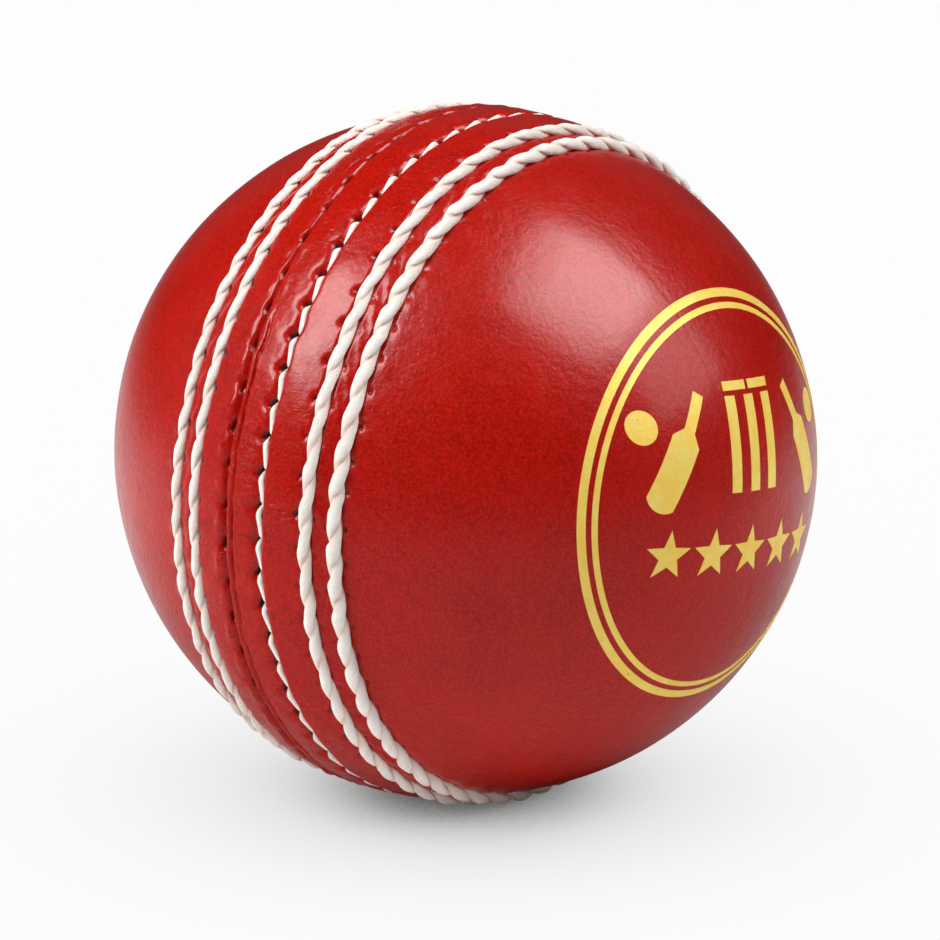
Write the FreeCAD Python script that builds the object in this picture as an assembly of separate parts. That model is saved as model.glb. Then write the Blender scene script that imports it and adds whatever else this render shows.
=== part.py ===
"""Four-piece cricket ball: a wound cork core, a four-quarter leather cover, six rows of seam thread
and a gold foil stamp.  Millimetres.

Frame: the origin is the ball's centre.  +X is the polar axis, square to the seam plane, and points out
of the stamped cup.  +Z is up.  Every layer is a body of revolution about X, drawn in the XY half-plane
y >= 0 and turned about X; turn angles are measured from +Y towards +Z.
"""
import FreeCAD, Part
import math
import os

from FreeCAD import Vector

# Cover
EQUATOR_RADIUS = 35.4       # bare leather radius in the seam plane, before the seam is raised
POLE_RADIUS = 36.95         # leather radius along the polar axis
LEATHER_THICKNESS = 3.5
JOIN_X = -1.55              # plane in which the two cups butt together
RIGHT_QUARTER_TURN = 97.0   # turn of the right cup's quarter seam, degrees
LEFT_QUARTER_TURN = RIGHT_QUARTER_TURN - 90.0

# Raised seam band
SEAM_HEIGHT = 0.65          # leather crest above the bare surface
SEAM_HALF_WIDTH = 11.7      # where the raised band has faded out
SEAM_FADE = 1.6             # higher keeps the crest flatter before it falls away
SEAM_PROFILE_POINTS = 12

# Seam threads: x of the row, radius of the thread, height of its centre above the bare surface
CORD_RADIUS = 0.7
CLOSING_THREAD_RADIUS = 0.4
SEAM_ROWS = {
    "seam_cord_left_outer": (-10.35, CORD_RADIUS, 0.12),
    "seam_cord_left_inner": (-7.2, CORD_RADIUS, 0.35),
    "closing_thread_left": (-2.6, CLOSING_THREAD_RADIUS, -0.15),
    "closing_thread_right": (1.95, CLOSING_THREAD_RADIUS, 0.2),
    "seam_cord_right_inner": (7.2, CORD_RADIUS, 0.35),
    "seam_cord_right_outer": (10.35, CORD_RADIUS, 0.12),
}
GROOVE_REACH = 2.0          # how far a groove's walls run outwards, past the leather

# Hidden stitching that holds two quarters together, inside the leather's thickness
QUARTER_THREAD_RADIUS = 0.35
QUARTER_THREAD_DEPTH = 2.4
QUARTER_THREAD_END_X = 4.5

# Core: a round nucleus, then windings of worsted yarn with cork slips between them
NUCLEUS_RADIUS = 12.5
WINDING_COUNT = 5
CORK_SLIP_THICKNESS = 1.3
QUILT_RADIUS = EQUATOR_RADIUS - LEATHER_THICKNESS
CORK_TOTAL = (WINDING_COUNT - 1) * CORK_SLIP_THICKNESS
WINDING_THICKNESS = (QUILT_RADIUS - NUCLEUS_RADIUS - CORK_TOTAL) / WINDING_COUNT

# Gold foil stamp on the right cup, in the YZ plane and centred a little off the pole
FOIL_THICKNESS = 0.05
STAMP_Y = 0.9
STAMP_Z = 1.25
STAMP_TURN = -9.0
FOIL_START_X = 24.0
OUTER_RING = (20.25, 21.03)
INNER_RING = (19.18, 19.74)

WICKET_HEIGHT = 9.6
STUMP_WIDTH = 1.5
STUMP_PITCH = 3.0
BAIL_HEIGHT = 0.9
BAIL_GAP = 0.5
WICKET_FOOT_Z = 1.6

BAT_BLADE = (3.4, 8.2)      # width, length
BAT_SHOULDER = 1.2
BAT_HANDLE = (1.3, 4.0)     # width, length
BAT_Y = 10.2
BAT_Z = 6.2
BAT_LEAN = 28.0
STAMP_BALL_RADIUS = 1.7
STAMP_BALL_Y = 14.6
STAMP_BALL_Z = 8.4

STAR_COUNT = 5
STAR_PITCH = 5.7
STAR_RADIUS = 2.7
STAR_WAIST = 0.42           # inner corner radius as a share of the outer one
STAR_Z = -4.6

ORIGIN = Vector(0, 0, 0)
X_AXIS = Vector(1, 0, 0)


def export(name, shape):
    shape.exportStep(os.path.join("parts", name + ".step"))


def turned(shape, degrees):
    copy = shape.copy()
    copy.rotate(ORIGIN, X_AXIS, degrees)
    return copy


def polygon_face(points):
    return Part.Face(Part.makePolygon(points + [points[0]]))


# ---- profile geometry ----

def surface_point(x, height=0.0):
    """Point of the XY half-plane that stands `height` above the bare leather, on the normal at x."""
    y = EQUATOR_RADIUS * math.sqrt(1 - (x / POLE_RADIUS) ** 2)
    return Vector(x, y, 0) + surface_normal(x) * height


def surface_normal(x):
    y = EQUATOR_RADIUS * math.sqrt(1 - (x / POLE_RADIUS) ** 2)
    normal = Vector(x / POLE_RADIUS ** 2, y / EQUATOR_RADIUS ** 2, 0)
    return normal.normalize()


def seam_height(x):
    """Height of the raised seam: flat in the middle, level with the cover at the half width."""
    share = min(abs(x) / SEAM_HALF_WIDTH, 1.0) ** SEAM_FADE
    return SEAM_HEIGHT * math.cos(math.pi / 2 * share) ** 2


def ellipse_arc(equator, pole, x_start, x_end):
    """Arc of a polar section, from x_start to x_end, with y >= 0."""
    ellipse = Part.Ellipse(ORIGIN, pole, equator)
    angles = sorted(math.acos(x / pole) for x in (x_start, x_end))
    return ellipse.toShape(*angles)


def raised_edge(side):
    """Outer edge of the seam band on one cup, from the band's foot to the join."""
    start = side * SEAM_HALF_WIDTH
    step = (JOIN_X - start) / (SEAM_PROFILE_POINTS - 1)
    stations = [start + step * i for i in range(SEAM_PROFILE_POINTS)]
    points = [surface_point(x, seam_height(x)) for x in stations]
    normal = surface_normal(start)
    foot_tangent = Vector(-normal.y, normal.x, 0) * side
    curve = Part.BSplineCurve()
    curve.interpolate(Points=points, Tangents=[foot_tangent] + [Vector()] * (len(points) - 1),
                      TangentFlags=[True] + [False] * (len(points) - 1))
    return curve.toShape()


def groove_face(x, radius, height):
    """Round-bottomed slot that holds one row of thread."""
    centre = surface_point(x, height)
    out = surface_normal(x)
    along = Vector(-out.y, out.x, 0)
    left = centre + along * radius
    right = centre - along * radius
    bottom = Part.Arc(left, centre - out * radius, right).toShape()
    walls = [Part.makeLine(right, right + out * GROOVE_REACH),
             Part.makeLine(right + out * GROOVE_REACH, left + out * GROOVE_REACH),
             Part.makeLine(left + out * GROOVE_REACH, left)]
    return Part.Face(Part.Wire([bottom] + walls))


def cup_profile(side):
    """Section of one leather cup, from the join to the pole, with its thread grooves."""
    inner_equator = EQUATOR_RADIUS - LEATHER_THICKNESS
    inner_pole = POLE_RADIUS - LEATHER_THICKNESS
    outer = ellipse_arc(EQUATOR_RADIUS, POLE_RADIUS, side * SEAM_HALF_WIDTH, side * POLE_RADIUS)
    raised = raised_edge(side)
    inner = ellipse_arc(inner_equator, inner_pole, JOIN_X, side * inner_pole)
    join_top = surface_point(JOIN_X, seam_height(JOIN_X))
    join_bottom = Vector(JOIN_X, inner_equator * math.sqrt(1 - (JOIN_X / inner_pole) ** 2), 0)
    butt = Part.makeLine(join_top, join_bottom)
    pole = Part.makeLine(Vector(side * inner_pole, 0, 0), Vector(side * POLE_RADIUS, 0, 0))
    face = Part.Face(Part.Wire(Part.__sortEdges__([outer, raised, butt, inner, pole])))
    for x, radius, height in SEAM_ROWS.values():
        if (x - JOIN_X) * side > 0:
            face = face.cut(groove_face(x, radius, height))
    return face.Faces[0]


# ---- cover ----

def quarter_thread(side, turn):
    """Row of hidden stitches from one edge of a cup, over its pole, to the other edge."""
    equator = EQUATOR_RADIUS - QUARTER_THREAD_DEPTH
    pole = POLE_RADIUS - QUARTER_THREAD_DEPTH
    reach = math.acos(QUARTER_THREAD_END_X / pole)
    ellipse = Part.Ellipse(ORIGIN, pole, equator)
    path = ellipse.toShape(-reach, reach)
    start = path.valueAt(path.FirstParameter)
    tangent = path.tangentAt(path.FirstParameter)
    section = Part.Wire(Part.makeCircle(QUARTER_THREAD_RADIUS, start, tangent))
    thread = Part.Wire(path).makePipeShell([section], True, False)
    if side < 0:
        thread.rotate(ORIGIN, Vector(0, 1, 0), 180)
    return turned(thread, turn)


def cover_quarter(side, turn, thread):
    profile = turned(cup_profile(side), turn)
    return profile.revolve(ORIGIN, X_AXIS, 180).cut(thread)


def make_cover():
    for side, label, turn in ((1, "right", RIGHT_QUARTER_TURN), (-1, "left", LEFT_QUARTER_TURN)):
        thread = quarter_thread(side, turn)
        export("quarter_seam_thread_" + label, thread)
        export("cover_quarter_" + label + "_a", cover_quarter(side, turn, thread))
        export("cover_quarter_" + label + "_b", cover_quarter(side, turn + 180, thread))


def make_seam_threads():
    for name, (x, radius, height) in SEAM_ROWS.items():
        centre = surface_point(x, height)
        export(name, Part.makeTorus(centre.y, radius, Vector(centre.x, 0, 0), X_AXIS))


# ---- core ----

def quilt_face(radius):
    """Half section of the core out to an equatorial radius; the nucleus is round, the rest is longer in X."""
    growth = (radius - NUCLEUS_RADIUS) / (QUILT_RADIUS - NUCLEUS_RADIUS)
    pole = radius + growth * (POLE_RADIUS - EQUATOR_RADIUS)
    if growth > 0:
        edge = ellipse_arc(radius, pole, -pole, pole)
    else:
        edge = Part.makeCircle(radius, ORIGIN, Vector(0, 0, 1), 0, 180)
    axis = Part.makeLine(Vector(-pole, 0, 0), Vector(pole, 0, 0))
    return Part.Face(Part.Wire([edge, axis]))


def quilt_solid(radius):
    return quilt_face(radius).revolve(ORIGIN, X_AXIS, 360)


def quilt_layer(inner, outer):
    return quilt_solid(outer).cut(quilt_solid(inner))


def cork_slips(inner, outer, turn):
    """Two cork cups that close round the winding, parted in a plane through the polar axis."""
    section = quilt_face(outer).cut(quilt_face(inner))
    halves = [turned(section, turn + half_turn).revolve(ORIGIN, X_AXIS, 180) for half_turn in (0, 180)]
    return Part.makeCompound([solid for half in halves for solid in half.Solids])


def make_core():
    export("nucleus", Part.makeSphere(NUCLEUS_RADIUS))
    radius = NUCLEUS_RADIUS
    for number in range(1, WINDING_COUNT + 1):
        wound = radius + WINDING_THICKNESS
        export("yarn_winding_%d" % number, quilt_layer(radius, wound))
        radius = wound
        if number < WINDING_COUNT:
            corked = radius + CORK_SLIP_THICKNESS
            export("cork_slips_%d" % number, cork_slips(radius, corked, 90 * (number % 2)))
            radius = corked


# ---- foil stamp ----

def foil_skin():
    """The thin layer on the right cup's bare surface from which the foil marks are taken."""
    inner = ellipse_arc(EQUATOR_RADIUS, POLE_RADIUS, FOIL_START_X, POLE_RADIUS)
    equator = EQUATOR_RADIUS + FOIL_THICKNESS
    pole = POLE_RADIUS + FOIL_THICKNESS
    outer = ellipse_arc(equator, pole, FOIL_START_X, pole)
    low = EQUATOR_RADIUS * math.sqrt(1 - (FOIL_START_X / POLE_RADIUS) ** 2)
    high = equator * math.sqrt(1 - (FOIL_START_X / pole) ** 2)
    foot = Part.makeLine(Vector(FOIL_START_X, low, 0), Vector(FOIL_START_X, high, 0))
    cap = Part.makeLine(Vector(POLE_RADIUS, 0, 0), Vector(pole, 0, 0))
    face = Part.Face(Part.Wire(Part.__sortEdges__([inner, foot, outer, cap])))
    return face.revolve(ORIGIN, X_AXIS, 360)


def stamp_point(y, z):
    return Vector(FOIL_START_X, y, z)


def mirrored_pair(face):
    return [face, face.mirror(ORIGIN, Vector(0, 1, 0))]


def rectangle(y, z, width, height):
    half = width / 2
    return polygon_face([stamp_point(y - half, z), stamp_point(y + half, z),
                         stamp_point(y + half, z + height), stamp_point(y - half, z + height)])


def disc(y, z, radius):
    return Part.Face(Part.Wire(Part.makeCircle(radius, stamp_point(y, z), X_AXIS)))


def ring_faces(radii):
    inner, outer = radii
    return [disc(0, 0, outer).cut(disc(0, 0, inner))]


def wicket_faces():
    stumps = [rectangle(STUMP_PITCH * i, WICKET_FOOT_Z, STUMP_WIDTH, WICKET_HEIGHT) for i in (-1, 0, 1)]
    bail_z = WICKET_FOOT_Z + WICKET_HEIGHT + BAIL_GAP
    bail_width = STUMP_PITCH + STUMP_WIDTH / 2 - BAIL_GAP / 2
    bail_y = BAIL_GAP / 2 + bail_width / 2
    return stumps + mirrored_pair(rectangle(bail_y, bail_z, bail_width, BAIL_HEIGHT))


def bat_face():
    """Bat with its centre at (BAT_Y, BAT_Z), handle up, leaning in towards the wicket."""
    half, length = BAT_BLADE[0] / 2, BAT_BLADE[1]
    grip = BAT_HANDLE[0] / 2
    toe_z = -(length + BAT_HANDLE[1]) / 2
    shoulder_z = toe_z + length
    top_z = shoulder_z + BAT_HANDLE[1]
    corners = [(half, toe_z), (half, shoulder_z - BAT_SHOULDER), (grip, shoulder_z), (grip, top_z),
               (-grip, top_z), (-grip, shoulder_z), (-half, shoulder_z - BAT_SHOULDER), (-half, toe_z)]
    points = [stamp_point(y, z) for y, z in corners]
    toe = Part.Arc(points[-1], stamp_point(0, toe_z - half / 2), points[0]).toShape()
    sides = Part.makePolygon(points).Edges
    face = Part.Face(Part.Wire(Part.__sortEdges__([toe] + sides)))
    face.rotate(stamp_point(0, 0), X_AXIS, BAT_LEAN)
    face.translate(Vector(0, BAT_Y, BAT_Z))
    return face


def star_face(y, z):
    points = []
    for corner in range(10):
        angle = math.pi / 2 + corner * math.pi / 5
        radius = STAR_RADIUS * (STAR_WAIST if corner % 2 else 1.0)
        points.append(stamp_point(y + radius * math.cos(angle), z + radius * math.sin(angle)))
    return polygon_face(points)


def star_faces():
    middle = (STAR_COUNT - 1) / 2
    return [star_face(STAR_PITCH * (i - middle), STAR_Z) for i in range(STAR_COUNT)]


def stamped(faces, skin):
    """Foil marks: each flat outline is pushed out along X and keeps what lies in the foil skin."""
    marks = []
    for face in faces:
        outline = turned(face, STAMP_TURN)
        outline.translate(Vector(0, STAMP_Y, STAMP_Z))
        prism = outline.extrude(X_AXIS * (POLE_RADIUS - FOIL_START_X + 1))
        marks += prism.common(skin).Solids
    return Part.makeCompound(marks) if len(marks) > 1 else marks[0]


def make_stamp():
    skin = foil_skin()
    marks = {
        "foil_outer_ring": ring_faces(OUTER_RING),
        "foil_inner_ring": ring_faces(INNER_RING),
        "foil_wicket": wicket_faces(),
        "foil_bats": mirrored_pair(bat_face()),
        "foil_balls": mirrored_pair(disc(STAMP_BALL_Y, STAMP_BALL_Z, STAMP_BALL_RADIUS)),
        "foil_stars": star_faces(),
    }
    for name, faces in marks.items():
        export(name, stamped(faces, skin))


def main():
    os.makedirs("parts", exist_ok=True)
    make_core()
    make_cover()
    make_seam_threads()
    make_stamp()


main()
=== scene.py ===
"""Looks for the four-piece cricket ball: leather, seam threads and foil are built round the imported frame.

Shapes are worked out in millimetres in the frame's own axes and scaled when a mesh is made. A place on
the ball is a latitude from the seam plane (towards +X) and a turn about X, from +Y towards +Z.
"""

import math

import bpy
import numpy as np
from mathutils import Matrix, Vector
from mathutils.geometry import delaunay_2d_cdt


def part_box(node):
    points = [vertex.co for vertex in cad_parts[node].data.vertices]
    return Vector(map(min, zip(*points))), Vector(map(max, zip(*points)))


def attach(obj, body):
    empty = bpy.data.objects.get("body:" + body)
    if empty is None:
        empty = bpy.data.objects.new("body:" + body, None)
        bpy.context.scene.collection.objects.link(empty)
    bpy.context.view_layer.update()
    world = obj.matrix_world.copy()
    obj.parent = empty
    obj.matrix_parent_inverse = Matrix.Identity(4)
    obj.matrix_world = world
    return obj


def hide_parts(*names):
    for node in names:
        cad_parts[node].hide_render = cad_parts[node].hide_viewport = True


MM = 0.001
BODY = "root"

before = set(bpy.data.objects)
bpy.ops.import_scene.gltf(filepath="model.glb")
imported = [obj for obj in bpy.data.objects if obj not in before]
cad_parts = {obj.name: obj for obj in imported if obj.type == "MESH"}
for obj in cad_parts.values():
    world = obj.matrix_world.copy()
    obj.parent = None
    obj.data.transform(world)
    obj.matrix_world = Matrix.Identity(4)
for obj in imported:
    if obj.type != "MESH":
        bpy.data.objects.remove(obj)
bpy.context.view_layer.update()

# ---- sizes: the bare cover, in millimetres ----

LEATHER_THICKNESS = 3.5
SEAM_HEIGHT = 0.65
SEAM_HALF_WIDTH = 11.7
SEAM_FADE = 1.6
RIGHT_QUARTER_TURN = 97.0
LEFT_QUARTER_TURN = RIGHT_QUARTER_TURN - 90.0


def node_box(node):
    low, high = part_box(node)
    return np.array(low) / MM, np.array(high) / MM


POLE = node_box("cover_quarter_right_a")[1][0]
CREST = node_box("cover_quarter_left_a")[1][2]
JOIN_X = node_box("cover_quarter_right_a")[0][0]
EQUATOR = 35.4


# ---- noise ----

def lumps(points, size, seed, waves=22):
    """Smooth seeded unevenness at 3-D points, about -1 to 1, with lumps about `size` mm across."""
    random = np.random.default_rng(seed)
    total = np.zeros(points.shape[:-1])
    for _ in range(waves):
        heading = random.normal(size=3)
        heading /= np.linalg.norm(heading)
        rate = math.pi / size * random.uniform(0.6, 1.4)
        total += np.sin(points @ heading * rate + random.uniform(0, 2 * math.pi))
    return total / math.sqrt(waves / 2) / 2


def ring_noise(turn, cycles, seed, waves=9):
    """Smooth seeded unevenness round the seam, about -1 to 1, that closes after a full turn."""
    random = np.random.default_rng(seed)
    total = np.zeros(np.shape(turn))
    for _ in range(waves):
        rate = random.integers(max(1, cycles // 2), cycles * 3 // 2 + 1)
        total += np.sin(turn * rate + random.uniform(0, 2 * math.pi))
    return total / math.sqrt(waves / 2) / 2


def bump(distance, width):
    """1 at distance 0, falling to nearly 0 at twice the width."""
    return np.exp(-(distance / width) ** 2)


def smooth_step(value, start, end):
    """0 at start, 1 at end, with a soft passage between."""
    share = np.clip((value - start) / (end - start), 0, 1)
    return share * share * (3 - 2 * share)


# ---- places on the ball ----

def on_ball(latitude, turn, height):
    """Points that stand `height` above the bare leather, on its normal."""
    x = POLE * np.sin(latitude)
    radius = EQUATOR * np.cos(latitude)
    out_x = x / POLE ** 2
    out_radius = radius / EQUATOR ** 2
    length = np.hypot(out_x, out_radius)
    x = x + height * out_x / length
    radius = radius + height * out_radius / length
    return np.stack(np.broadcast_arrays(x, radius * np.cos(turn), radius * np.sin(turn)), axis=-1)


def latitude_of(x):
    return np.arcsin(np.clip(x / POLE, -1, 1))


def seam_height(x):
    """How far the raised seam stands above the bare leather."""
    share = np.minimum(np.abs(x) / SEAM_HALF_WIDTH, 1.0) ** SEAM_FADE
    return SEAM_HEIGHT * np.cos(math.pi / 2 * share) ** 2


# ---- seam rows ----

class SeamRow:
    """One row of stitches: where it runs comes from its CAD ring, its rhythm from its own stitch count."""

    def __init__(self, node, stitches, phase, width=1.4):
        low, high = node_box(node)
        self.node = node
        self.x = (low[0] + high[0]) / 2
        self.tube = (high[0] - low[0]) / 2
        self.ring = high[2] - self.tube
        self.stitches = stitches
        self.phase = math.radians(phase)
        self.pitch = 2 * math.pi / stitches
        self.width = width
        self.seed = int(self.x * 10) + 500
        self.jitter = np.random.default_rng(self.seed).uniform(-1, 1, size=(stitches, 4))

    def path(self, turn):
        """Where the row runs, wandering a little from its ring."""
        return self.x + 0.07 * ring_noise(turn, 14, self.seed)

    def stitch(self, turn, lag=0.0):
        """(number of the nearest stitch, how far in mm past its middle, less lag)."""
        rhythm = (turn - self.phase) / self.pitch - lag / (self.pitch * self.ring)
        number = np.round(rhythm).astype(int)
        return number % self.stitches, (rhythm - number) * self.pitch * self.ring


ROWS = {
    "left_outer": SeamRow("seam_cord_left_outer", 60, 120.95, width=1.26),
    "left_inner": SeamRow("seam_cord_left_inner", 58, 155.9, width=1.28),
    "left_closing": SeamRow("closing_thread_left", 54, 122.4),
    "right_closing": SeamRow("closing_thread_right", 63, 117.7),
    "right_inner": SeamRow("seam_cord_right_inner", 56, 121.9, width=1.46),
    "right_outer": SeamRow("seam_cord_right_outer", 60, 120.4, width=1.66),
}
CORD_ROWS = ("left_outer", "left_inner", "right_inner", "right_outer")

# Dimples (negative) and puckers at each stitch: distance across the row, lag along it, height, the widths
# across and along, and how far the mark leans along the row for each millimetre across.
PUCKERS = {
    "left_outer": ((0.72, 0.85, -0.50, 0.24, 0.32, 0.0), (-1.15, 1.6, 0.10, 0.40, 0.7, 0.0)),
    "left_inner": ((0.74, 0.95, -0.50, 0.24, 0.32, 0.0), (-1.20, 1.4, 0.12, 0.40, 1.0, -0.9)),
    "left_closing": ((-0.22, 0.0, -0.80, 0.26, 0.48, -0.8), (-0.95, 2.0, 0.16, 0.42, 1.0, -0.6),
                     (0.75, 1.6, 0.10, 0.40, 1.0, 0.0)),
    "right_closing": ((-0.42, -0.1, -0.85, 0.30, 0.42, -0.5), (-0.95, 0.0, -0.12, 0.40, 0.6, -0.5)),
    "right_inner": ((-1.0, 0.55, -0.36, 0.34, 0.46, -0.6), (0.85, 0.95, -0.22, 0.24, 0.38, 0.0)),
    "right_outer": ((-0.95, 0.75, -0.16, 0.28, 0.40, 0.0), (0.98, 0.95, -0.30, 0.24, 0.34, 0.0),
                    (1.75, 1.9, 0.08, 0.55, 0.80, 0.5)),
}
# Valley of a closing row: depth, its width on the left and on the right, and how much wider it is on the
# left at each hole.
VALLEYS = {"left_closing": (0.50, 0.30, 0.26, 0.40), "right_closing": (0.42, 0.52, 0.28, 0.50)}
VALLEY_SHUT_SHARE = 0.45    # how wide the left valley still is where the join is pressed shut
SCALLOP_LENGTH = 0.75
JOIN_CREASE = (0.30, 0.16)  # depth and width
JOIN_OPEN_TURN = math.radians(250)
HOLE_SHADE_DEPTHS = (0.10, 0.36)  # a mark this deep starts to get the painted shade of a hole, and has all of it at the second depth
CORD_SEAT = 0.3             # how far the leather under a cord lies below the cord's centre


def cord_groove(height, x, turn, row):
    """The leather sinks under a cord and rises close beside it."""
    distance = np.abs(x - row.path(turn))
    half = row.width / 2
    sunk = 1 - smooth_step(distance, half * 0.62, half * 1.18)
    centre = row.ring - EQUATOR * math.cos(latitude_of(row.x))
    return height * (1 - sunk) + (centre - CORD_SEAT) * sunk


def stitch_marks(x, turn, key):
    """Dimples and puckers of one row."""
    row = ROWS[key]
    total = np.zeros(np.shape(x))
    for across, lag, height, wide, long, lean in PUCKERS[key]:
        number, along = row.stitch(turn, lag)
        strength = 1 + 0.35 * row.jitter[number, 0]
        beside = x - row.path(turn) - across - 0.08 * row.jitter[number, 1]
        beyond = along - 0.2 * row.jitter[number, 2] - lean * beside
        total = total + height * strength * bump(beside, wide) * bump(beyond, long)
    return total


def join_opening(turn):
    """How open the join between the cups is: 0 where they are pressed shut, 1 where a line shows."""
    return smooth_step(0.25 - np.cos(turn - JOIN_OPEN_TURN) + 0.4 * ring_noise(turn, 9, 11), 0.6, -0.4)


def stitch_hole_shade(x, turn):
    """1 in the holes the needle leaves, 0 on plain leather; the leather is painted nearly black there, as
    painted shade in the holes.
    """
    return smooth_step(-sum(stitch_marks(x, turn, key) for key in ROWS), *HOLE_SHADE_DEPTHS)


def closing_valley(x, turn, key):
    """The leather sinks along a closing row, in scallops on its left side."""
    row = ROWS[key]
    depth, left, right, scallop = VALLEYS[key]
    number, along = row.stitch(turn)
    distance = x - row.path(turn)
    left = left + scallop * bump(along, SCALLOP_LENGTH) * (1 + 0.4 * row.jitter[number, 3])
    right = right * (1 + 0.25 * ring_noise(turn, 50, 6))
    width = np.where(distance < 0, left, right)
    if key == "left_closing":
        width = width * (VALLEY_SHUT_SHARE + (1 - VALLEY_SHUT_SHARE) * join_opening(turn))
    return -depth * (1 + 0.25 * ring_noise(turn, 20, 5)) * bump(distance, width)


def join_crease(x, turn):
    """The line where the two cups meet."""
    depth, width = JOIN_CREASE
    wander = 0.13 * ring_noise(turn, 40, 12) + 0.05 * ring_noise(turn, 150, 13)
    across = x - JOIN_X - wander * bump(x - JOIN_X, 1.0)
    return -depth * join_opening(turn) * bump(across, width)


def band_folds(x, turn):
    """Slanting folds in the narrow bands between two cords, one fold for each stitch of the outer cord."""
    left, right = ROWS["left_outer"], ROWS["right_outer"]
    middle = (ROWS["right_inner"].x + right.x) / 2
    left_rhythm = (turn - left.phase) / left.pitch + 0.35 * (x + middle)
    right_rhythm = (turn - right.phase) / right.pitch - 0.30 * (x - middle)
    folds = 0.09 * np.cos(2 * math.pi * left_rhythm) * bump(x + middle, 0.6)
    return folds + 0.07 * np.cos(2 * math.pi * right_rhythm) * bump(x - middle, 0.6)


def quarter_crease(points, x):
    """A faint crease where two quarters of one cup meet."""
    seam_turn = math.radians(RIGHT_QUARTER_TURN if np.mean(x) > 0 else LEFT_QUARTER_TURN)
    across = points[..., 2] * math.cos(seam_turn) - points[..., 1] * math.sin(seam_turn)
    away_from_seam = smooth_step(np.abs(x), 11.0, 14.0)
    return -0.010 * bump(across, 0.30) * away_from_seam


def leather_height(latitude, turn):
    """Height of the finished leather above the bare cover; the seam band is the least even part."""
    x = POLE * np.sin(latitude)
    bare = on_ball(latitude, turn, 0.0)
    on_band = 1 - smooth_step(np.abs(x), 10.0, 13.0)
    height = seam_height(x) + (0.035 - 0.015 * on_band) * lumps(bare, 7.0, 1)
    height = height + 0.045 * on_band * lumps(bare, 3.6, 3) + 0.028 * on_band * lumps(bare, 1.7, 2)
    height = height + band_folds(x, turn)
    for key in VALLEYS:
        height = height + closing_valley(x, turn, key)
    for key in CORD_ROWS:
        height = cord_groove(height, x, turn, ROWS[key])
    for key in ROWS:
        height = height + stitch_marks(x, turn, key)
    return height + join_crease(x, turn) + quarter_crease(bare, x)


# ---- meshes ----

def make_object(name, points, faces, material, smooth=True):
    """faces is a list of arrays, each holding faces of one size as rows of point numbers."""
    mesh = bpy.data.meshes.new(name)
    sizes = np.concatenate([np.full(len(part), part.shape[1]) for part in faces])
    corners = np.concatenate([part.ravel() for part in faces])
    mesh.vertices.add(len(points))
    mesh.vertices.foreach_set("co", (np.asarray(points) * MM).astype(np.float32).ravel())
    mesh.loops.add(len(corners))
    mesh.loops.foreach_set("vertex_index", corners.astype(np.int32))
    mesh.polygons.add(len(sizes))
    starts = np.concatenate([[0], np.cumsum(sizes)[:-1]])
    mesh.polygons.foreach_set("loop_start", starts.astype(np.int32))
    mesh.polygons.foreach_set("loop_total", sizes.astype(np.int32))
    mesh.polygons.foreach_set("use_smooth", np.full(len(sizes), smooth))
    mesh.update(calc_edges=True)
    mesh.validate()
    mesh.materials.append(material)
    piece = bpy.data.objects.new(name, mesh)
    bpy.context.scene.collection.objects.link(piece)
    return piece


def add_attribute(piece, name, values):
    """A number or a vector for each point, for the materials to read."""
    kind = "FLOAT_VECTOR" if np.ndim(values) == 2 else "FLOAT"
    layer = piece.data.attributes.new(name, kind, "POINT")
    key = "vector" if kind == "FLOAT_VECTOR" else "value"
    layer.data.foreach_set(key, np.asarray(values, dtype=np.float32).ravel())


def install(piece, node):
    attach(piece, BODY)
    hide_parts(node)


def grid_quads(rows, columns, first=0):
    """Quads of a grid of points numbered row by row."""
    row = np.arange(rows - 1)[:, None]
    column = np.arange(columns - 1)[None, :]
    corner = first + row * columns + column
    above = corner + columns
    return np.stack([corner, corner + 1, above + 1, above], axis=-1).reshape(-1, 4)


# ---- leather quarters ----

TURN_STEPS = 600
INNER_STEPS = 12
CAP_STEP = math.radians(1.6)
# Where each stretch of stations ends and how far apart its stations are, outward from the join.
STRETCHES = {1: ((3.4, 0.11), (6.0, 0.30), (12.0, 0.16), (15.0, 0.42)),
             -1: ((-4.6, 0.11), (-6.0, 0.30), (-12.0, 0.16), (-15.0, 0.42))}


def outer_latitudes(side):
    """Stations from the join to just short of the pole, closest where the stitches are."""
    edge = JOIN_X
    latitudes = []
    for stop, step in STRETCHES[side]:
        count = math.ceil(abs(stop - edge) / step)
        latitudes.append(latitude_of(np.linspace(edge, stop, count, endpoint=False)))
        edge = stop
    start = float(latitude_of(edge))
    count = math.ceil((math.pi / 2 - abs(start)) / CAP_STEP)
    latitudes.append(np.linspace(start, side * math.pi / 2, count, endpoint=False))
    return np.concatenate(latitudes)


def quarter_faces(wide, narrow):
    """Faces of a closed shell: outer grid, inner grid, both pole fans, the butt edge and the two ends."""
    columns = TURN_STEPS + 1
    inner_first = columns * wide
    pole = inner_first + columns * narrow
    step = np.arange(TURN_STEPS)
    outer_rim = step * wide + wide - 1
    inner_rim = inner_first + step * narrow + narrow - 1
    outer_tip = np.stack([outer_rim, np.full_like(step, pole), outer_rim + wide], axis=-1)
    inner_tip = np.stack([inner_rim, inner_rim + narrow, np.full_like(step, pole + 1)], axis=-1)
    butt = np.stack([step * wide, (step + 1) * wide, inner_first + (step + 1) * narrow,
                     inner_first + step * narrow], axis=-1)
    first_end = np.concatenate([np.arange(wide), [pole, pole + 1],
                                inner_first + np.arange(narrow)[::-1]])
    last_end = np.concatenate([TURN_STEPS * wide + np.arange(wide), [pole, pole + 1],
                               inner_first + TURN_STEPS * narrow + np.arange(narrow)[::-1]])
    return [grid_quads(columns, wide), grid_quads(columns, narrow, inner_first)[:, ::-1],
            outer_tip, inner_tip, butt, first_end[None, ::-1], last_end[None, :]]


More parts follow.
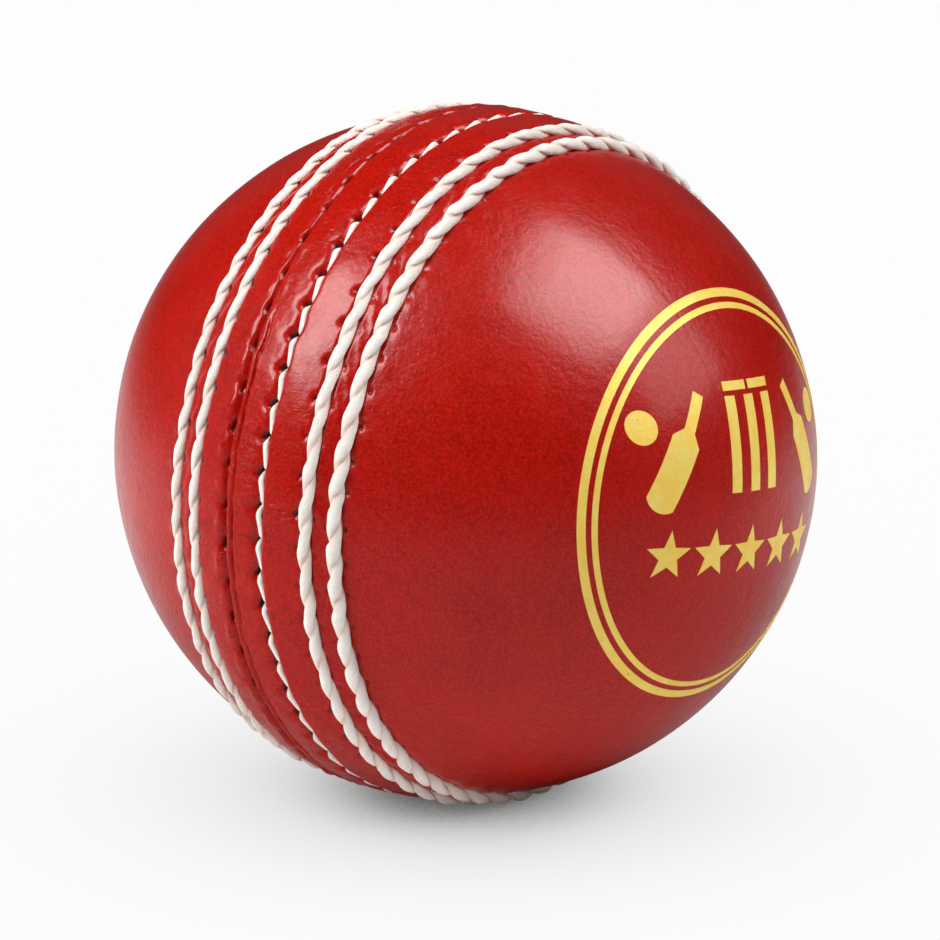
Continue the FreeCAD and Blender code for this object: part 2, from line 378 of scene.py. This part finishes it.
def leather_quarter(side, label, start_degrees, material):
    """One quarter of the cover as a closed shell, half a turn wide."""
    cup = "right" if side > 0 else "left"
    latitude = outer_latitudes(side)
    turn = math.radians(start_degrees) + np.linspace(0, math.pi, TURN_STEPS + 1)
    outer = on_ball(latitude[None, :], turn[:, None], leather_height(latitude[None, :], turn[:, None]))
    inner_latitude = np.linspace(latitude[0], side * math.pi / 2, INNER_STEPS, endpoint=False)
    inner = on_ball(inner_latitude[None, :], turn[:, None], -LEATHER_THICKNESS)
    tip = leather_height(np.array([side * math.pi / 2]), np.array([0.0]))[0]
    poles = np.array([[side * (POLE + tip), 0, 0], [side * (POLE - LEATHER_THICKNESS), 0, 0]])
    points = np.concatenate([outer.reshape(-1, 3), inner.reshape(-1, 3), poles])
    faces = quarter_faces(len(latitude), len(inner_latitude))
    if side < 0:
        faces = [part[:, ::-1] for part in faces]
    piece = make_object("leather_%s_%s" % (cup, label), points, faces, material)
    piece.data.set_sharp_from_angle(angle=math.radians(70))
    x = points[:, 0]
    around = np.arctan2(points[:, 2], points[:, 1]) * EQUATOR
    add_attribute(piece, "seam_band", 1 - smooth_step(np.abs(x), 6.5, 12.5))
    add_attribute(piece, "wrap", np.stack([x, around, np.zeros(len(x))], axis=-1))
    # Where the leather material paints the shade of the stitch holes.
    add_attribute(piece, "hole", stitch_hole_shade(x, around / EQUATOR))
    install(piece, "cover_quarter_%s_%s" % (cup, label))


# ---- threads ----

CORD_STEPS = 20             # stations per stitch
CORD_SIDES = 28
THREAD_SIDES = 14
CORD_GROOVE = 0.54          # depth of the groove between the plies, as a share of the cord's radius
PLY_ROUNDNESS = 0.62        # lower is a narrower groove
CORD_SKEW = 1.08            # how far along the row a strand slips for each millimetre across it
THREAD_DIVE = 0.75          # how far a closing thread sinks between two showing stitches


def ring_tube(centres, across, along_normal, half_width, half_depth, sides):
    """Points of a closed tube: each station is an ellipse in the plane of its two given directions."""
    angle = np.linspace(0, 2 * math.pi, sides, endpoint=False)
    ring = (half_width[:, None, None] * np.cos(angle)[None, :, None] * across[:, None, :]
            + half_depth[:, None, None] * np.sin(angle)[None, :, None] * along_normal[:, None, :])
    return (centres[:, None, :] + ring).reshape(-1, 3), angle


def tube_faces(stations, sides):
    """Quads of a tube that closes on itself both ways."""
    station = np.arange(stations)[:, None]
    side = np.arange(sides)[None, :]
    after = (station + 1) % stations
    beside = (side + 1) % sides
    return np.stack([station * sides + side, after * sides + side, after * sides + beside,
                     station * sides + beside], axis=-1).reshape(-1, 4)


def ring_frame(centres):
    """Unit outward normals and side directions along a closed path round the X axis."""
    travel = np.roll(centres, -1, axis=0) - np.roll(centres, 1, axis=0)
    travel /= np.linalg.norm(travel, axis=1, keepdims=True)
    out = centres * np.array([0, 1, 1])
    out -= (out * travel).sum(axis=1, keepdims=True) * travel
    out /= np.linalg.norm(out, axis=1, keepdims=True)
    return out, np.cross(travel, out)


def ring_points(x, radius, turn):
    return np.stack([x, radius * np.cos(turn), radius * np.sin(turn)], axis=-1)


def fibre_coordinates(length, angle, radius):
    """Length along a strand and place round it, for patterns that follow the fibres."""
    stations, sides = len(length), len(angle)
    coordinates = np.zeros((stations, sides, 3))
    coordinates[..., 0] = length[:, None]
    coordinates[..., 1] = radius * np.cos(angle)[None, :]
    coordinates[..., 2] = radius * np.sin(angle)[None, :]
    return coordinates.reshape(-1, 3)


def skewed(points, x, ring):
    """Points turned about X so that a cord's strands cross it more steeply than a free twist would."""
    angle = CORD_SKEW * (points[:, 0] - x) / ring
    y = points[:, 1] * np.cos(angle) - points[:, 2] * np.sin(angle)
    z = points[:, 1] * np.sin(angle) + points[:, 2] * np.cos(angle)
    return np.stack([points[:, 0], y, z], axis=-1)


def twisted_cord(key, material):
    """Two plies pressed together and twisted half a turn at each stitch, pulled into the leather there."""
    row = ROWS[key]
    stations = row.stitches * CORD_STEPS
    turn = np.linspace(0, 2 * math.pi, stations, endpoint=False)
    rhythm = (turn - row.phase) / row.pitch
    pull = 0.06 * (0.5 + 0.5 * np.cos(2 * math.pi * rhythm))
    x = row.path(turn) + 0.03 * ring_noise(turn, 60, row.seed + 10)
    centre = ring_points(x, row.ring + row.width / 2 - row.tube - pull, turn)
    out, beside = ring_frame(centre)
    winding = math.pi * rhythm + 0.14 * ring_noise(turn, 45, row.seed + 20)
    strand = np.linspace(0, 2 * math.pi, CORD_SIDES, endpoint=False)
    lobe = (1 - CORD_GROOVE) + CORD_GROOVE * np.abs(np.cos(strand)) ** PLY_ROUNDNESS
    size = row.width / 2 * (1 + 0.05 * ring_noise(turn, 50, row.seed + 30))
    swell = 1 + 0.05 * np.cos(strand)[None, :] * ring_noise(turn, 80, row.seed + 40)[:, None]
    reach = size[:, None] * lobe[None, :] * swell
    angle = winding[:, None] + strand[None, :]
    outward = (reach * np.cos(angle))[..., None] * out[:, None, :]
    sideways = (reach * np.sin(angle))[..., None] * beside[:, None, :]
    ring = outward + sideways
    points = skewed((centre[:, None, :] + ring).reshape(-1, 3), row.x, row.ring)
    piece = make_object("cord_" + key, points, [tube_faces(stations, CORD_SIDES)], material)
    add_attribute(piece, "fibre", fibre_coordinates(turn * row.ring, strand, row.width / 2))
    # fold is 1 in the groove between the plies, where the thread gets its dye tint and painted shade.
    add_attribute(piece, "fold", np.tile(bump(np.cos(strand), 0.42), stations))
    install(piece, row.node)


def closing_thread(key, shown, depth, radius, material):
    """Running stitches: the thread comes up at each hole, lies in the valley and dives at the next.

    shown is the share of each stitch that lies open, depth how far below the seam's crest it lies.
    """
    row = ROWS[key]
    stations = row.stitches * CORD_STEPS
    turn = np.linspace(0, 2 * math.pi, stations, endpoint=False)
    rhythm = (turn - row.phase) / row.pitch
    share = rhythm - np.floor(rhythm)
    number = np.floor(rhythm).astype(int) % row.stitches
    sink = (1 - 0.3 * share) * (1 - smooth_step(share, shown * 0.8, min(shown * 1.3, 1.0)))
    rise = np.sqrt(smooth_step(share, 0.0, 0.26)) * sink
    surface = EQUATOR + SEAM_HEIGHT
    height = surface - depth - THREAD_DIVE + THREAD_DIVE * rise + 0.07 * row.jitter[number, 3] * rise
    back = smooth_step(share, 0.92, 1.0)
    sway = (-0.26 + 0.50 * smooth_step(share, 0.0, 0.95)) * (1 - back) - 0.26 * back
    centre = ring_points(row.path(turn) + sway, height, turn)
    out, beside = ring_frame(centre)
    taper = 0.72 + 0.28 * rise
    tube, angle = ring_tube(centre, beside, out, radius * taper, radius * 0.85 * taper, THREAD_SIDES)
    piece = make_object("thread_" + key, tube, [tube_faces(stations, THREAD_SIDES)], material)
    add_attribute(piece, "fibre", fibre_coordinates(turn * row.ring, angle, radius))
    add_attribute(piece, "fold", np.zeros(len(tube)))
    install(piece, row.node)


# ---- foil stamp ----

FOIL_TOP = 0.03
FOIL_SOLE = -0.02
FOIL_EDGE_STEP = 0.25
FOIL_GRID_STEP = 0.6
FOIL_GRID_MARGIN = 0.2      # how far the inner points stay from the outline


def open_edges(edges):
    """Those edges that only one face has."""
    found = np.unique(np.sort(edges, axis=1), axis=0, return_index=True, return_counts=True)
    first, counts = found[1:]
    return edges[first[counts == 1]]


def foil_outline(node):
    """Boundary of a foil node's outer face, as points in the YZ plane and pairs of their numbers."""
    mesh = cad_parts[node].data
    corners = np.empty(len(mesh.vertices) * 3)
    mesh.vertices.foreach_get("co", corners)
    corners = corners.reshape(-1, 3) / MM
    points, same = np.unique(np.round(corners, 4), axis=0, return_inverse=True)
    same = same.ravel()
    mesh.calc_loop_triangles()
    triangles = np.empty(len(mesh.loop_triangles) * 3, dtype=np.int32)
    mesh.loop_triangles.foreach_get("vertices", triangles)
    triangles = same[triangles.reshape(-1, 3)]
    a, b, c = (points[triangles[:, i]] for i in range(3))
    normal = np.cross(b - a, c - a)
    size = np.linalg.norm(normal, axis=1)
    radial = a / np.array([POLE ** 2, EQUATOR ** 2, EQUATOR ** 2])
    facing = (normal * radial).sum(axis=1) > 0.5 * size * np.linalg.norm(radial, axis=1)
    outer = triangles[facing & (size > 0)]
    edges = np.concatenate([outer[:, [0, 1]], outer[:, [1, 2]], outer[:, [2, 0]]])
    return points[:, 1:], open_edges(edges)


def divided_outline(points, edges):
    """The outline with no edge longer than FOIL_EDGE_STEP."""
    placed, pairs, number = [], [], {}

    def place(point):
        key = (round(float(point[0]), 4), round(float(point[1]), 4))
        if key not in number:
            number[key] = len(placed)
            placed.append(key)
        return number[key]

    for start, end in edges:
        parts = max(1, math.ceil(np.linalg.norm(points[end] - points[start]) / FOIL_EDGE_STEP))
        shares = np.linspace(0, 1, parts + 1)
        stops = [place(points[start] * (1 - share) + points[end] * share) for share in shares]
        pairs += [pair for pair in zip(stops, stops[1:]) if pair[0] != pair[1]]
    return placed, pairs


def inside_outline(points, placed, pairs):
    """Which points lie inside, by counting the outline's crossings of a level line."""
    start = np.array([placed[a] for a, b in pairs])
    end = np.array([placed[b] for a, b in pairs])
    crossings = np.zeros(len(points), dtype=int)
    for (y0, z0), (y1, z1) in zip(start, end):
        spans = (z0 > points[:, 1]) != (z1 > points[:, 1])
        if z0 != z1:
            crossing = y0 + (points[:, 1] - z0) / (z1 - z0) * (y1 - y0)
            crossings += spans & (points[:, 0] < crossing)
    return crossings % 2 == 1


def lifted(flat, height):
    """Points of the YZ plane moved along X to `height` above the finished leather of the stamped cup."""
    radius = np.hypot(flat[:, 0], flat[:, 1])
    turn = np.arctan2(flat[:, 1], flat[:, 0])
    latitude = np.arccos(np.clip(radius / EQUATOR, 0, 1))
    return on_ball(latitude, turn, leather_height(latitude, turn) + height)


def foil_piece(node, material):
    """A thin sheet with the node's outline, laid on the finished leather."""
    placed, pairs = divided_outline(*foil_outline(node))
    low, high = np.min(placed, axis=0), np.max(placed, axis=0)
    grid = np.stack(np.meshgrid(np.arange(low[0], high[0], FOIL_GRID_STEP),
                                np.arange(low[1], high[1], FOIL_GRID_STEP)), axis=-1).reshape(-1, 2)
    edge_points = np.array(placed)
    near = np.array([np.min(np.hypot(*(edge_points - point).T)) for point in grid])
    grid = grid[inside_outline(grid, placed, pairs) & (near > FOIL_GRID_MARGIN)]
    flat = [Vector(point) for point in placed] + [Vector(point) for point in grid]
    net = delaunay_2d_cdt(flat, pairs, [], 0, 1e-5)
    points = np.array([tuple(point) for point in net[0]])
    faces = np.array(net[2])
    middles = points[faces].mean(axis=1)
    faces = faces[inside_outline(middles, placed, pairs)]
    count = len(points)
    solid = np.concatenate([lifted(points, FOIL_TOP), lifted(points, FOIL_SOLE)])
    sides = np.concatenate([faces[:, [0, 1]], faces[:, [1, 2]], faces[:, [2, 0]]])
    rim = open_edges(sides)
    walls = np.stack([rim[:, 1], rim[:, 0], rim[:, 0] + count, rim[:, 1] + count], axis=-1)
    piece = make_object("stamp_" + node, solid, [faces, faces[:, ::-1] + count, walls], material)
    piece.data.set_sharp_from_angle(angle=math.radians(40))
    install(piece, node)


# ---- materials ----

class Shader:
    """A Principled material with short ways to add and link nodes."""

    def __init__(self, name, **sockets):
        self.material = bpy.data.materials.new(name)
        self.material.use_nodes = True
        self.tree = self.material.node_tree
        self.shader = self.tree.nodes["Principled BSDF"]
        self.place = self.node("ShaderNodeTexCoord").outputs["Object"]
        for socket, value in sockets.items():
            self.shader.inputs[socket.replace("_", " ")].default_value = value

    def node(self, kind, **settings):
        node = self.tree.nodes.new(kind)
        for name, value in settings.items():
            setattr(node, name, value)
        return node

    def link(self, source, target):
        self.tree.links.new(source, target)

    def noise(self, scale, detail, roughness, vector=None, distortion=0.0):
        node = self.node("ShaderNodeTexNoise")
        node.inputs["Scale"].default_value = scale
        node.inputs["Detail"].default_value = detail
        node.inputs["Roughness"].default_value = roughness
        node.inputs["Distortion"].default_value = distortion
        self.link(vector or self.place, node.inputs["Vector"])
        return node.outputs["Fac"]

    def cells(self, scale, feature="F1"):
        node = self.node("ShaderNodeTexVoronoi", feature=feature)
        node.inputs["Scale"].default_value = scale
        self.link(self.place, node.inputs["Vector"])
        return node.outputs["Distance"]

    def math(self, operation, first, second):
        node = self.node("ShaderNodeMath", operation=operation)
        for socket, value in zip(node.inputs, (first, second)):
            if isinstance(value, (int, float)):
                socket.default_value = value
            else:
                self.link(value, socket)
        return node.outputs[0]

    def spread(self, value, low, high, to_low=0.0, to_high=1.0):
        """value's range low to high, spread softly over to_low to to_high."""
        node = self.node("ShaderNodeMapRange", interpolation_type="SMOOTHSTEP")
        self.link(value, node.inputs["Value"])
        node.inputs["From Min"].default_value = low
        node.inputs["From Max"].default_value = high
        node.inputs["To Min"].default_value = to_low
        node.inputs["To Max"].default_value = to_high
        return node.outputs["Result"]

    def mix(self, share, first, second):
        """A colour between first and second. The sockets are numbered: their names repeat."""
        node = self.node("ShaderNodeMix", data_type="RGBA")
        for number, value in ((0, share), (6, first), (7, second)):
            if isinstance(value, (int, float, tuple)):
                node.inputs[number].default_value = value
            else:
                self.link(value, node.inputs[number])
        return node.outputs[2]

    def attribute(self, name, output="Fac"):
        return self.node("ShaderNodeAttribute", attribute_name=name).outputs[output]

    def stretched(self, vector, scale):
        node = self.node("ShaderNodeMapping")
        self.link(vector, node.inputs["Vector"])
        node.inputs["Scale"].default_value = scale
        return node.outputs["Vector"]

    def colour(self, value):
        self.link(value, self.shader.inputs["Base Color"])

    def roughness(self, value):
        self.link(value, self.shader.inputs["Roughness"])

    def bump(self, height, distance, strength=1.0):
        """distance is in metres."""
        node = self.node("ShaderNodeBump")
        node.inputs["Distance"].default_value = distance
        node.inputs["Strength"].default_value = strength
        self.link(height, node.inputs["Height"])
        self.link(node.outputs["Normal"], self.shader.inputs["Normal"])


def leather_grain(s):
    """Crinkled grain of lacquered hide: uneven cells a few tenths of a millimetre wide, with wrinkles."""
    cells = s.cells(1700.0, "SMOOTH_F1")
    wrinkles = s.noise(2100.0, 1.0, 0.5, distortion=0.8)
    broad = s.noise(700.0, 1.0, 0.5, distortion=0.4)
    grain = s.math("ADD", s.math("MULTIPLY", cells, 0.6), wrinkles)
    return s.math("ADD", grain, s.math("MULTIPLY", broad, 1.2))


def seam_wrinkles(s, band):
    """Short wrinkles across the seam band, in patches."""
    wrap = s.attribute("wrap", "Vector")
    lines = s.noise(1.0, 2.0, 0.6, s.stretched(wrap, (0.75, 1.9, 1.0)), 1.2)
    patches = s.spread(s.noise(190.0, 2.0, 0.5), 0.48, 0.66)
    return s.math("MULTIPLY", s.math("MULTIPLY", lines, patches), band)


def leather_material():
    s = Shader("red_leather", Specular_IOR_Level=0.22, Coat_Weight=0.35, Coat_Roughness=0.18, Coat_IOR=1.5)
    mottle = s.spread(s.noise(140.0, 4.0, 0.6), 0.35, 0.68)
    specks = s.spread(s.noise(3300.0, 3.0, 0.7), 0.36, 0.66)
    base = s.mix(mottle, (0.31, 0.0026, 0.0004, 1), (0.38, 0.0042, 0.0008, 1))
    blots = s.spread(s.noise(620.0, 3.0, 0.6), 0.40, 0.62)
    base = s.mix(s.math("MULTIPLY", blots, 0.28), base, (0.27, 0.0022, 0.0006, 1))
    base = s.mix(s.math("MULTIPLY", specks, 0.85), base, (0.54, 0.0090, 0.0024, 1))
    # Painted shade: the leather is painted nearly black in the stitch holes, standing in for the shadow
    # inside them.
    base = s.mix(s.math("MULTIPLY", s.attribute("hole"), 0.92), base, (0.022, 0.0010, 0.0014, 1))
    s.colour(base)
    band = s.attribute("seam_band")
    patches = s.spread(s.noise(420.0, 3.0, 0.6), 0.35, 0.7, 0.0, 0.06)
    s.roughness(s.math("SUBTRACT", s.math("ADD", patches, 0.30), s.math("MULTIPLY", band, 0.03)))
    relief = s.math("ADD", leather_grain(s), s.math("MULTIPLY", seam_wrinkles(s, band), 3.5))
    s.bump(relief, 0.000042)
    return s.material


def thread_material():
    s = Shader("white_thread", Roughness=0.75, Specular_IOR_Level=0.3, Sheen_Weight=0.25, Sheen_Roughness=0.5)
    fibre = s.attribute("fibre", "Vector")
    streaks = s.noise(1.0, 3.0, 0.6, s.stretched(fibre, (0.6, 9.0, 9.0)))
    soft = s.noise(1.0, 2.0, 0.5, s.stretched(fibre, (0.35, 0.8, 0.8)))
    fold = s.attribute("fold")
    cream = s.mix(s.spread(streaks, 0.3, 0.7), (0.86, 0.79, 0.70, 1), (0.95, 0.91, 0.86, 1))
    # Partly real, partly painted: the leather's red dye rubbed into the thread, and painted shade in the
    # groove between the plies, in patches.
    dye_and_groove_shade = s.math("MULTIPLY", s.spread(soft, 0.30, 0.62, 0.35, 1.0), fold)
    s.colour(s.mix(s.math("MULTIPLY", dye_and_groove_shade, 0.70), cream, (0.80, 0.50, 0.38, 1)))
    s.bump(streaks, 0.00012, 0.6)
    return s.material


def foil_material():
    s = Shader("gold_foil", Metallic=0.16, Specular_IOR_Level=0.5)
    blotches = s.spread(s.noise(500.0, 4.0, 0.65), 0.35, 0.7)
    gold = s.mix(blotches, (1.0, 0.66, 0.095, 1), (1.0, 0.77, 0.18, 1))
    worn = s.spread(s.noise(1300.0, 3.0, 0.7), 0.70, 0.76)
    s.colour(s.mix(worn, gold, (0.55, 0.20, 0.05, 1)))
    s.roughness(s.spread(blotches, 0.0, 1.0, 0.48, 0.38))
    s.bump(leather_grain(s), 0.000025)
    return s.material


def cork_material():
    s = Shader("cork_composite", Roughness=0.85, Specular_IOR_Level=0.2)
    grains = s.cells(420.0)
    tint = s.noise(900.0, 3.0, 0.6)
    brown = s.mix(s.spread(tint, 0.3, 0.7), (0.30, 0.16, 0.07, 1), (0.55, 0.34, 0.17, 1))
    s.colour(s.mix(s.spread(grains, 0.5, 0.75), brown, (0.12, 0.06, 0.03, 1)))
    s.bump(grains, 0.0004, 0.6)
    return s.material


def yarn_material():
    s = Shader("worsted_yarn", Roughness=0.9, Specular_IOR_Level=0.15, Sheen_Weight=0.3)
    strands = s.node("ShaderNodeTexWave", wave_type="BANDS", bands_direction="DIAGONAL")
    strands.inputs["Scale"].default_value = 260.0
    strands.inputs["Distortion"].default_value = 3.0
    strands.inputs["Detail"].default_value = 3.0
    s.link(s.place, strands.inputs["Vector"])
    fuzz = s.noise(3000.0, 3.0, 0.6)
    wool = s.mix(strands.outputs["Fac"], (0.42, 0.35, 0.24, 1), (0.72, 0.66, 0.54, 1))
    s.colour(s.mix(s.math("MULTIPLY", fuzz, 0.4), wool, (0.80, 0.75, 0.64, 1)))
    s.bump(strands.outputs["Fac"], 0.0006, 0.7)
    return s.material


def linen_material():
    s = Shader("linen_thread", Roughness=0.8, Specular_IOR_Level=0.2)
    fibres = s.noise(1.0, 3.0, 0.6, s.stretched(s.place, (900.0, 4000.0, 4000.0)))
    s.colour(s.mix(fibres, (0.50, 0.43, 0.30, 1), (0.76, 0.70, 0.56, 1)))
    s.bump(fibres, 0.0001, 0.5)
    return s.material


# Painted contact shadow: brightness of the white sweep as the camera sees it, by how much of the sky reaches
# it; slightly warm where it is dark.
SWEEP_TONES = ((0.0, 0.025), (0.06, 0.07), (0.20, 0.60), (0.34, 0.80), (0.5, 0.87), (0.65, 0.935),
               (0.85, 0.975), (1.0, 0.985))
SHADOW_REACH = 0.3
FLOOR_PAINTED_SHADE_SIDE = (0.62, -0.78, 0.0)     # the side on which the floor is painted darker in the ball's reflections


def floor_material():
    """White sweep: to the camera a glow with a painted contact shadow from ambient occlusion; in the ball's
    reflections it is painted lighter near the ball and darker far off and on one side.
    """
    s = Shader("pale_floor", Roughness=0.9, Specular_IOR_Level=0.0)
    rays = s.node("ShaderNodeLightPath").outputs
    ahead = s.node("ShaderNodeVectorMath", operation="DOT_PRODUCT")
    s.link(s.place, ahead.inputs[0])
    ahead.inputs[1].default_value = FLOOR_PAINTED_SHADE_SIDE
    away = s.node("ShaderNodeVectorMath", operation="LENGTH")
    s.link(s.place, away.inputs[0])
    # Painted light and shade for the ball's reflections only: lighter near the ball, darker far off and on
    # one side.
    glossy = s.math("MULTIPLY", s.spread(ahead.outputs["Value"], -0.10, 0.08, 0.60, 0.16),
                    s.spread(away.outputs["Value"], 0.10, 0.36, 1.32, 0.35))
    s.colour(s.mix(rays["Is Diffuse Ray"], glossy, (0.95, 0.95, 0.95, 1)))
    open_sky = s.node("ShaderNodeAmbientOcclusion", samples=16)
    open_sky.inputs["Distance"].default_value = SHADOW_REACH
    tones = s.node("ShaderNodeValToRGB")
    ramp = tones.color_ramp
    ramp.interpolation = "B_SPLINE"
    for place, level in SWEEP_TONES[1:-1]:
        ramp.elements.new(place)
    for stop, (place, level) in zip(ramp.elements, SWEEP_TONES):
        stop.position = place
        stop.color = (level, level * 0.99, level * 0.985, 1) if level < 0.9 else (level, level, level, 1)
    s.link(open_sky.outputs["AO"], tones.inputs["Fac"])
    # The camera sees only this glow, which carries the painted contact shadow.
    painted_shadow_glow = s.node("ShaderNodeEmission")
    s.link(tones.outputs["Color"], painted_shadow_glow.inputs["Color"])
    choice = s.node("ShaderNodeMixShader")
    s.link(rays["Is Camera Ray"], choice.inputs[0])
    s.link(s.shader.outputs[0], choice.inputs[1])
    s.link(painted_shadow_glow.outputs[0], choice.inputs[2])
    s.link(choice.outputs[0], s.tree.nodes["Material Output"].inputs["Surface"])
    return s.material


# ---- stage, lights, camera ----

CAMERA_TURN = 38.51
CAMERA_RISE = 17.34
CAMERA_DISTANCE = 1136.7
CAMERA_LENS = 420.4
CAMERA_SHIFT = (0.0053, -0.0187)


def direction(turn, rise):
    """Unit vector towards a viewer or light: turn 0 is -Y, 90 is +X."""
    a, e = math.radians(turn), math.radians(rise)
    return Vector((math.sin(a) * math.cos(e), -math.cos(a) * math.cos(e), math.sin(e)))


def add_camera():
    data = bpy.data.cameras.new("camera")
    data.lens = CAMERA_LENS
    data.sensor_width = 36.0
    data.shift_x, data.shift_y = CAMERA_SHIFT
    data.clip_start, data.clip_end = 0.05, 20.0
    camera = bpy.data.objects.new("camera", data)
    back = direction(CAMERA_TURN, CAMERA_RISE)
    camera.location = back * CAMERA_DISTANCE * MM
    camera.rotation_mode = "QUATERNION"
    camera.rotation_quaternion = (-back).to_track_quat("-Z", "Y")
    bpy.context.scene.collection.objects.link(camera)
    bpy.context.scene.camera = camera


def add_softbox(name, turn, rise, angles, radiance, distance=0.6, glossy=True, diffuse=True):
    """A rectangular light facing the ball; angles are its width and height as the ball sees it."""
    data = bpy.data.lights.new(name, "AREA")
    data.shape = "RECTANGLE"
    width, height = (2 * distance * math.tan(math.radians(angle) / 2) for angle in angles)
    data.size, data.size_y = width, height
    data.energy = radiance * math.pi * width * height
    lamp = bpy.data.objects.new(name, data)
    back = direction(turn, rise)
    lamp.location = back * distance
    lamp.rotation_mode = "QUATERNION"
    lamp.rotation_quaternion = (-back).to_track_quat("-Z", "Y")
    lamp.visible_glossy = glossy
    lamp.visible_diffuse = diffuse
    bpy.context.scene.collection.objects.link(lamp)


# What the surroundings look like in a reflection: turn, rise, cosine where the patch begins and is full,
# brightness added there.
SURROUNDINGS = ((-100.0, 5.0, 0.15, 0.75, 0.14), (218.0, 5.0, 0.80, 0.93, 1.1),
                (-60.0, 80.0, 0.5, 0.95, 0.30), (190.0, 34.0, 0.80, 0.96, 0.45))
SURROUNDINGS_BASE = 0.03
FILL = 1.22                 # what matt surfaces get from all sides
BACKDROP = 0.98             # what the camera sees


def add_world():
    """White to the camera, even fill for matt surfaces, a dark room with pale walls for glossy ones."""
    world = bpy.data.worlds.new("studio")
    bpy.context.scene.world = world
    world.use_nodes = True
    world.cycles.sampling_method = "NONE"
    tree = world.node_tree
    place = tree.nodes.new("ShaderNodeTexCoord").outputs["Generated"]
    total = SURROUNDINGS_BASE
    for turn, rise, start, full, level in SURROUNDINGS:
        facing = tree.nodes.new("ShaderNodeVectorMath")
        facing.operation = "DOT_PRODUCT"
        tree.links.new(place, facing.inputs[0])
        facing.inputs[1].default_value = direction(turn, rise)
        patch = tree.nodes.new("ShaderNodeMapRange")
        patch.interpolation_type = "SMOOTHSTEP"
        tree.links.new(facing.outputs["Value"], patch.inputs["Value"])
        patch.inputs["From Min"].default_value = start
        patch.inputs["From Max"].default_value = full
        patch.inputs["To Max"].default_value = level
        total = world_sum(tree, patch.outputs["Result"], total)
    rays = tree.nodes.new("ShaderNodeLightPath").outputs
    level = world_choice(tree, rays["Is Diffuse Ray"], total, FILL)
    level = world_choice(tree, rays["Is Camera Ray"], level, BACKDROP)
    tree.links.new(level, tree.nodes["Background"].inputs["Strength"])


def world_sum(tree, first, second):
    node = tree.nodes.new("ShaderNodeMath")
    node.operation = "ADD"
    tree.links.new(first, node.inputs[0])
    if isinstance(second, float):
        node.inputs[1].default_value = second
    else:
        tree.links.new(second, node.inputs[1])
    return node.outputs[0]


def world_choice(tree, chosen, otherwise, level):
    """`level` for the chosen rays, else what was there."""
    node = tree.nodes.new("ShaderNodeMapRange")
    tree.links.new(chosen, node.inputs["Value"])
    tree.links.new(otherwise, node.inputs["To Min"])
    node.inputs["To Max"].default_value = level
    return node.outputs["Result"]


def add_floor(material):
    half = 3000.0           # millimetres, like every mesh here
    corners = np.array([[-half, -half, 0], [half, -half, 0], [half, half, 0], [-half, half, 0]])
    floor = make_object("floor", corners, [np.array([[0, 1, 2, 3]])], material, smooth=False)
    floor.location.z = -CREST * MM


def add_stage():
    add_world()
    add_floor(floor_material())
    add_softbox("softbox_right", 115, 60, (40, 34), 6.0)
    add_softbox("shine_right", 121, 58, (30, 24), 3.8, distance=0.59, diffuse=False)
    add_softbox("shine_right_low", 121, 33, (32, 30), 3.0, distance=0.58, diffuse=False)
    add_softbox("softbox_left", -26, 46, (23, 36), 8.0)
    add_softbox("shine_left", -27, 48, (22, 36), 3.8, distance=0.59, diffuse=False)
    add_softbox("fill_left", -60, 10, (50, 50), 2.3, glossy=False)
    add_camera()
    scene = bpy.context.scene
    scene.view_settings.view_transform = "Standard"
    scene.view_settings.look = "None"


# ---- the ball ----

def dress_core(cork, yarn, linen):
    """The hidden CAD pieces keep their shapes and get their materials."""
    kinds = {"nucleus": cork, "cork_slips": cork, "yarn_winding": yarn, "quarter_seam_thread": linen}
    for name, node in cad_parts.items():
        for start, material in kinds.items():
            if name.startswith(start):
                node.data.materials.clear()
                node.data.materials.append(material)


def build_ball():
    leather = leather_material()
    for side, start in ((1, RIGHT_QUARTER_TURN), (-1, LEFT_QUARTER_TURN)):
        leather_quarter(side, "a", start, leather)
        leather_quarter(side, "b", start + 180, leather)
    thread = thread_material()
    for key in CORD_ROWS:
        twisted_cord(key, thread)
    closing_thread("right_closing", shown=0.95, depth=0.25, radius=0.34, material=thread)
    closing_thread("left_closing", shown=0.28, depth=0.90, radius=0.28, material=thread)
    foil = foil_material()
    for name in sorted(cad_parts):
        if name.startswith("foil_"):
            foil_piece(name, foil)
    dress_core(cork_material(), yarn_material(), linen_material())


build_ball()
add_stage()
